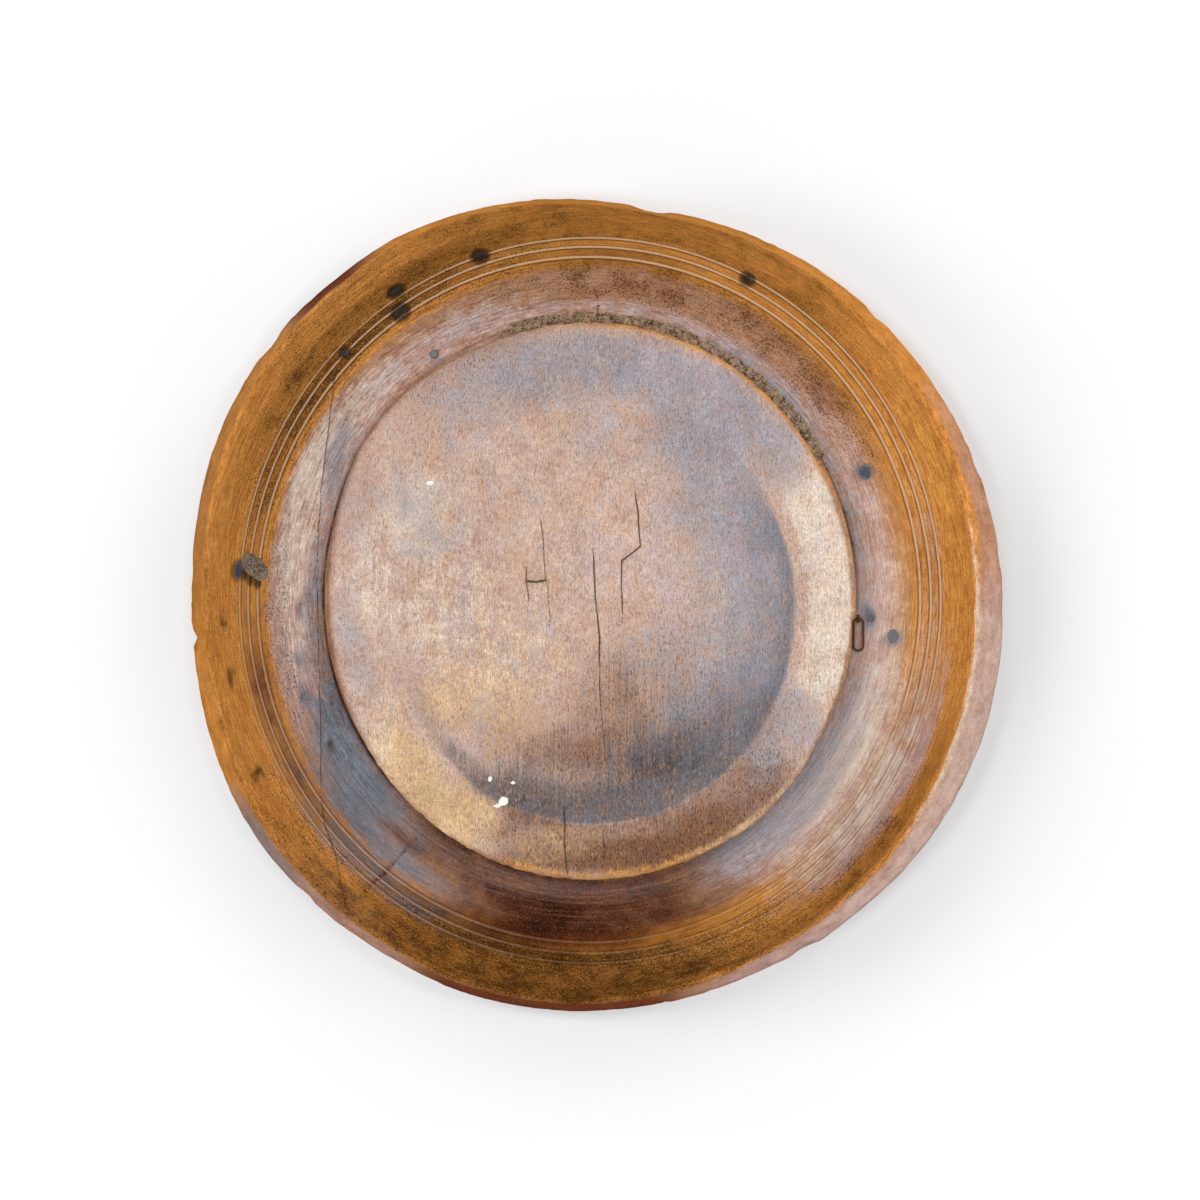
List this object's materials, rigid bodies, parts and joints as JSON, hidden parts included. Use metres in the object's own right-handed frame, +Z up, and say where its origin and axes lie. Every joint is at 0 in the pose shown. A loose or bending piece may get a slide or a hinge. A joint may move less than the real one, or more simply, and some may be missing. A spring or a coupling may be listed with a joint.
{
  "type": "dough bowl",
  "caption": "Old turned wooden dough bowl on a low oval foot, with ring grooves round its wall, iron repair nails, a wooden plug and a swinging wire loop to hang it by.",
  "frame": {"origin": "middle of the foot's face, on the surface that the bowl stands on, under the middle of the rim", "axes": "+Z up out of the bowl's mouth; Y along the grain of the wood; +X towards the hanging loop"},
  "size_m": [0.4, 0.4, 0.098],
  "materials": {
    "bowl_wood": "old turned hardwood, waxed and handled to a blue-grey sheen on the belly and foot, orange-brown on the outer wall, with dark stains",
    "plug_wood": "dry grey-brown end grain with a frayed end",
    "nail_iron": "dark hand-forged iron, dull blue-grey with rust at the edge",
    "loop_iron": "rusted iron wire"
  },
  "bodies": {
    "bowl": {"bowl_body": "bowl_wood", "wall_plug": "plug_wood", "loop_staple": "loop_iron", "nail_1": "nail_iron", "nail_2": "nail_iron", "nail_3": "nail_iron", "nail_4": "nail_iron", "nail_5": "nail_iron", "nail_6": "nail_iron", "nail_7": "nail_iron", "nail_8": "nail_iron", "nail_9": "nail_iron", "nail_10": "nail_iron"},
    "loop": {"hanging_loop": "loop_iron"}
  },
  "joints": [
    {"name": "loop_swing", "type": "hinge", "parent": "bowl", "child": "loop", "pos_m": [0.1207, 0.0081, 0.0081], "axis": [-1, 0, 0], "range_deg": [0, 180]}
  ]
}
